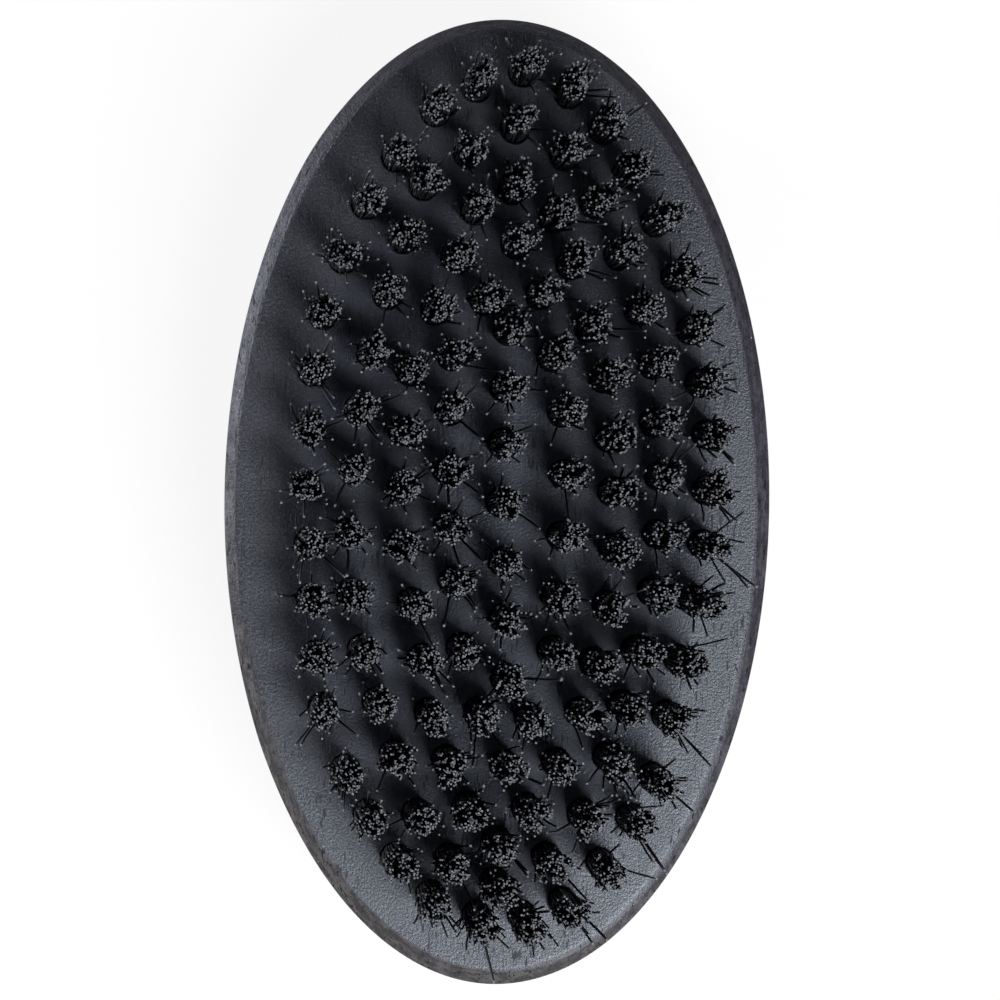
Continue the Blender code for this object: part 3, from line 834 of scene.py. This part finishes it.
def node(tree, kind, inputs=None, **settings):
    """Adds a shader node. An input is a value, or the socket that feeds it."""
    made = tree.nodes.new(kind)
    for key, value in settings.items():
        setattr(made, key, value)
    for key, value in (inputs or {}).items():
        if isinstance(value, bpy.types.NodeSocket):
            tree.links.new(value, made.inputs[key])
        else:
            made.inputs[key].default_value = value
    return made


def noise(tree, place, sizes, detail=3.0, roughness=0.55):
    """Noise from 0 to 1 whose features have these sizes along X, Y and Z."""
    scale = [1 / size for size in sizes]
    mapped = node(tree, "ShaderNodeMapping", {"Vector": place, "Scale": scale})
    made = node(
        tree,
        "ShaderNodeTexNoise",
        {"Vector": mapped.outputs[0], "Scale": 1.0, "Detail": detail, "Roughness": roughness},
    )
    return made.outputs[0]


def ramp(tree, value, low, high, to_low=0.0, to_high=1.0):
    """Maps low..high of a value to to_low..to_high, held at both ends."""
    limits = {"From Min": low, "From Max": high, "To Min": to_low, "To Max": to_high}
    return node(tree, "ShaderNodeMapRange", {"Value": value, **limits}, clamp=True).outputs[0]


def math_node(tree, operation, first, second):
    return node(tree, "ShaderNodeMath", {0: first, 1: second}, operation=operation).outputs[0]


def attribute(tree, name, output="Fac"):
    return node(tree, "ShaderNodeAttribute", attribute_name=name).outputs[output]


def object_place(tree):
    return node(tree, "ShaderNodeTexCoord").outputs["Object"]


def mix_colour(tree, factor, first, second):
    """Blends from the first colour to the second. Each is red, green and blue, or a socket."""
    made = node(tree, "ShaderNodeMix", data_type="RGBA")
    for key, value in (("Factor", factor), ("A", first), ("B", second)):
        kind = "VALUE" if key == "Factor" else "RGBA"
        socket = next(s for s in made.inputs if s.name == key and s.type == kind)
        if isinstance(value, bpy.types.NodeSocket):
            tree.links.new(value, socket)
        else:
            socket.default_value = value if kind == "VALUE" else (*value, 1.0)
    return next(s for s in made.outputs if s.type == "RGBA")


def new_material(name, roughness):
    material = bpy.data.materials.new(name)
    material.use_nodes = True
    tree = material.node_tree
    shader = tree.nodes["Principled BSDF"]
    shader.inputs["Roughness"].default_value = roughness
    return material, tree, shader


def mask(tree, name, value):
    """The wood's mask of this name, over the value that it follows."""
    return ramp(tree, value, *WOOD_MASKS[name])


def wood_patterns(tree):
    """The patterns and masks of the wood, by name."""
    place = object_place(tree)
    found = {name: noise(tree, place, *look) for name, look in WOOD_NOISES.items()}
    found["rim"] = attribute(tree, "rim")
    found["rim_streaks"] = noise(tree, attribute(tree, "rim_run", "Vector"), *RIM_STREAK_NOISE)
    found["rim_pits"] = mask(tree, "rim_pits", found["rim_pit_shapes"])

    pores = mask(tree, "pore_shapes", found["pore_shapes"])
    pores_here = mask(tree, "pore_places", found["pore_places"])
    found["pores"] = math_node(tree, "MULTIPLY", pores, pores_here)
    wear_broken = mask(tree, "wear_breaks", found["wear_breaks"])
    found["wear"] = math_node(tree, "MULTIPLY", attribute(tree, "edge_wear"), wear_broken)

    scale = [1 / DUST_SPACING] * 3
    dust_place = node(tree, "ShaderNodeMapping", {"Vector": place, "Scale": scale}).outputs[0]
    cells = node(tree, "ShaderNodeTexVoronoi", {"Vector": dust_place, "Scale": 1.0}).outputs
    chosen = node(tree, "ShaderNodeSeparateColor", {0: cells["Color"]}).outputs[0]
    specks = mask(tree, "dust_size", cells["Distance"])
    found["dust"] = math_node(tree, "MULTIPLY", specks, mask(tree, "dust_chosen", chosen))

    sides = node(tree, "ShaderNodeSeparateXYZ", {0: place}).outputs
    slant = math_node(tree, "MULTIPLY", sides["X"], END_SLANT)
    toward_end = math_node(tree, "ADD", sides["Y"], slant)
    found["paler_end"] = mask(tree, "paler_end", toward_end)
    found["painted_shade_end"] = mask(tree, "painted_shade_end", toward_end)
    found["painted_shade_rim"] = mask(tree, "painted_shade_rim", sides["Y"])

    to_round = (2 / BLOCK_WIDTH, 2 / BLOCK_LENGTH, 0.0)
    round_place = node(tree, "ShaderNodeMapping", {"Vector": place, "Scale": to_round}).outputs[0]
    length = node(tree, "ShaderNodeVectorMath", {0: round_place}, operation="LENGTH")
    found["painted_shade_among_tufts"] = mask(tree, "painted_shade_among_tufts", length.outputs["Value"])
    return found


def rim_colour(tree, patterns):
    """The rim: streaked and mottled, paler and warmer towards the -Y end, with dark pits."""
    dark = mix_colour(tree, patterns["paler_end"], RIM_DARK, PALER_END_RIM_DARK)
    light = mix_colour(tree, patterns["paler_end"], RIM_LIGHT, PALER_END_RIM_LIGHT)
    streaks = math_node(tree, "MULTIPLY", patterns["rim_streaks"], RIM_STREAKS_SHARE)
    mottle = math_node(tree, "MULTIPLY", patterns["rim_mottle"], RIM_MOTTLE_SHARE)
    tone = mask(tree, "rim_tone", math_node(tree, "ADD", streaks, mottle))
    colour = mix_colour(tree, tone, dark, light)
    # Painted shade: the rim painted darker towards the +Y end
    colour = mix_colour(tree, patterns["painted_shade_rim"], colour, dark)
    return mix_colour(tree, patterns["rim_pits"], colour, RIM_PIT_COLOUR)


def wood_colour(tree, patterns):
    """The stain with its layers, the painted shade among the tufts, the rim, the painted shade
    towards the +Y end, and then the wear, dust and pores.
    """
    colour = mix_colour(tree, mask(tree, "cloudy", patterns["cloud"]), STAIN_DARK, STAIN_LIGHT)
    for pattern, low, high, share, layer in STAIN_LAYERS:
        here = ramp(tree, patterns[pattern], low, high, 0.0, share)
        colour = mix_colour(tree, here, colour, layer)
    # Painted shade: the wood among the tufts painted darker and bluer
    colour = mix_colour(tree, patterns["painted_shade_among_tufts"], colour, PAINTED_SHADE_AMONG_TUFTS_COLOUR)
    rim = math_node(tree, "MULTIPLY", patterns["rim"], RIM_SHARE)
    colour = mix_colour(tree, rim, colour, rim_colour(tree, patterns))
    # Painted shade: the face and rim painted darker towards the +Y end
    colour = mix_colour(tree, patterns["painted_shade_end"], colour, PAINTED_SHADE_END_COLOUR)
    wear = math_node(tree, "MULTIPLY", patterns["wear"], WEAR_SHARE)
    colour = mix_colour(tree, wear, colour, WORN_EDGE_COLOUR)
    dust = math_node(tree, "MULTIPLY", patterns["dust"], DUST_SHARE)
    colour = mix_colour(tree, dust, colour, DUST_COLOUR)
    return mix_colour(tree, patterns["pores"], colour, PORE_COLOUR)


def layered(tree, patterns, layers):
    """The sum of what each layer adds."""
    steps = [ramp(tree, patterns[pattern], *limits) for pattern, *limits in layers]
    total = steps[0]
    for step in steps[1:]:
        total = math_node(tree, "ADD", total, step)
    return total


def wood_relief(tree, patterns):
    """How high the surface stands: grain, saw marks, pebbly stain, pores and the rim's marks."""
    height = layered(tree, patterns, RELIEF_LAYERS)
    pores = math_node(tree, "MULTIPLY", patterns["pores"], PORE_DEPTH)
    height = math_node(tree, "SUBTRACT", height, pores)
    rim_streaks = mask(tree, "rim_relief", patterns["rim_streaks"])
    rim_relief = math_node(tree, "SUBTRACT", rim_streaks, patterns["rim_pits"])
    return math_node(tree, "ADD", height, math_node(tree, "MULTIPLY", patterns["rim"], rim_relief))


def stained_wood(name, gloss):
    """Black-stained wood: grain along Y, faint saw marks across, pebbly stain, wear and dust, with
    painted shade among the tufts and towards the +Y end.
    """
    material, tree, shader = new_material(name, WOOD_ROUGHNESS)
    shader.inputs["Specular IOR Level"].default_value = gloss
    shader.inputs["Specular Tint"].default_value = WOOD_TINT
    patterns = wood_patterns(tree)
    tree.links.new(wood_colour(tree, patterns), shader.inputs["Base Color"])
    pores = math_node(tree, "MULTIPLY", patterns["pores"], PORE_ROUGHER)
    rough = math_node(tree, "ADD", layered(tree, patterns, ROUGHNESS_LAYERS), pores)
    tree.links.new(rough, shader.inputs["Roughness"])
    relief = {"Strength": 1.0, "Distance": RELIEF_HEIGHT, "Height": wood_relief(tree, patterns)}
    tree.links.new(node(tree, "ShaderNodeBump", relief).outputs[0], shader.inputs["Normal"])
    return material


def bristle_shaft():
    """Near-black bristle, each strand a little different, with faint length-wise unevenness and a
    painted highlight up its upper end.
    """
    material, tree, shader = new_material("bristle_shaft", SHAFT_ROUGHNESS)
    shader.inputs["Specular IOR Level"].default_value = SHAFT_GLOSS
    tone = attribute(tree, "tone")
    uneven = noise(tree, object_place(tree), *SHAFT_NOISE)
    base = mix_colour(tree, tone, SHAFT_DARK, SHAFT_LIGHT)
    base = mix_colour(tree, ramp(tree, uneven, *SHAFT_UNEVEN), base, SHAFT_UNEVEN_COLOUR)
    # Painted highlight: the upper end of each shaft painted paler, for light caught there
    shaft_highlight = math_node(tree, "MULTIPLY", attribute(tree, "shaft_highlight"), ramp(tree, tone, *SHAFT_HIGHLIGHT_BY_TONE))
    base = mix_colour(tree, shaft_highlight, base, SHAFT_HIGHLIGHT_COLOUR)
    tree.links.new(base, shader.inputs["Base Color"])
    tree.links.new(ramp(tree, uneven, *SHAFT_ROUGH), shader.inputs["Roughness"])
    return material


def bristle_tip():
    """The pale cut end of a bristle."""
    material, tree, shader = new_material("bristle_tip", TIP_ROUGHNESS)
    tone = math_node(tree, "POWER", attribute(tree, "tone"), TIP_TONE_POWER)
    mottle = noise(tree, object_place(tree), *TIP_NOISE)
    base = mix_colour(tree, tone, TIP_DARK, TIP_LIGHT)
    base = mix_colour(tree, ramp(tree, mottle, *TIP_MOTTLE), base, TIP_MOTTLE_COLOUR)
    tree.links.new(base, shader.inputs["Base Color"])
    tree.links.new(ramp(tree, mottle, *TIP_ROUGH), shader.inputs["Roughness"])
    return material


def floor_paper():
    """Pale paper that the camera sees as white, with a soft shadow."""
    material = bpy.data.materials.new("floor_paper")
    material.use_nodes = True
    tree = material.node_tree
    tree.nodes.clear()
    tooth = noise(tree, object_place(tree), *PAPER_TOOTH)
    colour = mix_colour(tree, tooth, PAPER_DARK, PAPER_LIGHT)
    paper = node(tree, "ShaderNodeBsdfDiffuse", {"Color": colour})
    glow = node(tree, "ShaderNodeEmission", {"Color": (1, 1, 1, 1), "Strength": 1.0})
    path = node(tree, "ShaderNodeLightPath")
    seen = math_node(tree, "MAXIMUM", path.outputs["Is Camera Ray"], path.outputs["Is Glossy Ray"])
    seen = math_node(tree, "MAXIMUM", seen, path.outputs["Is Transmission Ray"])
    share = math_node(tree, "MULTIPLY", seen, FLOOR_GLOW)
    mixed = node(tree, "ShaderNodeMixShader", {0: share, 1: paper.outputs[0], 2: glow.outputs[0]})
    node(tree, "ShaderNodeOutputMaterial", {"Surface": mixed.outputs[0]})
    return material


def make_stage():
    """A wide pale floor that turns up into a backdrop all round."""
    work = bmesh.new()
    profile = [(FLOOR_RADIUS * step / FLOOR_RINGS, 0.0) for step in range(1, FLOOR_RINGS + 1)]
    for step in range(1, COVE_STEPS + 1):
        turn = math.pi / 2 * step / COVE_STEPS
        radius = FLOOR_RADIUS + COVE_RADIUS * math.sin(turn)
        profile.append((radius, COVE_RADIUS * (1 - math.cos(turn))))
    profile.append((FLOOR_RADIUS + COVE_RADIUS, BACKDROP_HEIGHT))
    rings = [ring(work, radius, height, STAGE_SIDES) for radius, height in profile]
    work.faces.new(rings[0])
    for inner, outer in zip(rings, rings[1:]):
        band(work, outer, inner)
    mesh = finished(work, "floor")
    mesh.shade_smooth()
    floor = new_object("floor", mesh, [floor_paper()])


def make_world():
    """Faint cool studio light from all round."""
    world = bpy.data.worlds.new("studio")
    bpy.context.scene.world = world
    world.use_nodes = True
    world.node_tree.nodes["Background"].inputs["Color"].default_value = WORLD_COLOUR
    world.node_tree.nodes["Background"].inputs["Strength"].default_value = WORLD_LIGHT


def add_lamp(name, from_vertical, turn, distance, width, level):
    """A round soft lamp aimed at the brush."""
    steep, turn = math.radians(from_vertical), math.radians(turn)
    level_reach = math.sin(steep)
    way = Vector((level_reach * math.cos(turn), level_reach * math.sin(turn), math.cos(steep)))
    light = bpy.data.lights.new(name, "AREA")
    light.shape = "DISK"
    light.size = width
    light.energy = level * math.pi**2 * (distance**2 + (width / 2) ** 2)
    lamp = bpy.data.objects.new(name, light)
    lamp.location = LAMP_TARGET + distance * way
    lamp.rotation_euler = (-way).to_track_quat("-Z", "Y").to_euler()
    bpy.context.scene.collection.objects.link(lamp)


def make_camera():
    """Stands where the photograph's camera stood, aimed at the middle of its picture."""
    def on_face(pixel):
        x = (pixel[0] - FACE_CENTRE_PIXEL[0]) / PIXELS_PER_METRE
        y = (FACE_CENTRE_PIXEL[1] - pixel[1]) / PIXELS_PER_METRE
        return Vector((x, y, BLOCK_HEIGHT))

    target = on_face((PHOTO_SIZE / 2, PHOTO_SIZE / 2))
    place = on_face(CAMERA_FOOT_PIXEL) + Vector((0, 0, CAMERA_ABOVE_FACE))
    camera = bpy.data.cameras.new("camera")
    camera.sensor_width = SENSOR_WIDTH
    camera.lens = SENSOR_WIDTH * (target - place).length * PIXELS_PER_METRE / PHOTO_SIZE
    camera.clip_start, camera.clip_end = CLIP_NEAR, CLIP_FAR
    seen = bpy.data.objects.new("camera", camera)
    back = (place - target).normalized()
    up = Vector((-math.sin(BRUSH_TURN), math.cos(BRUSH_TURN), 0.0))
    right = up.cross(back).normalized()
    up = back.cross(right)
    turned = Matrix((right, up, back)).transposed().to_4x4()
    seen.matrix_world = Matrix.Translation(place) @ turned
    bpy.context.scene.collection.objects.link(seen)
    bpy.context.scene.camera = seen
    return seen


camera = make_camera()
rows = tuft_rows()
jog = np.random.default_rng(SEED + 1)
rows = [(name, centres + jog.normal(0, TUFT_PLACE_SPREAD, centres.shape)) for name, centres in rows]
wood = [stained_wood(f"stained_wood_{part}", gloss) for part, gloss in WOOD_GLOSSES.items()]
block = make_block(np.concatenate([centres for _, centres in rows]), wood)
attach(block, "root")
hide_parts("wood_block")
make_tufts(rows, camera, [bristle_shaft(), bristle_tip()])
make_stage()
make_world()
for lamp in LAMPS:
    add_lamp(*lamp)
bpy.context.scene.view_settings.view_transform = "Standard"
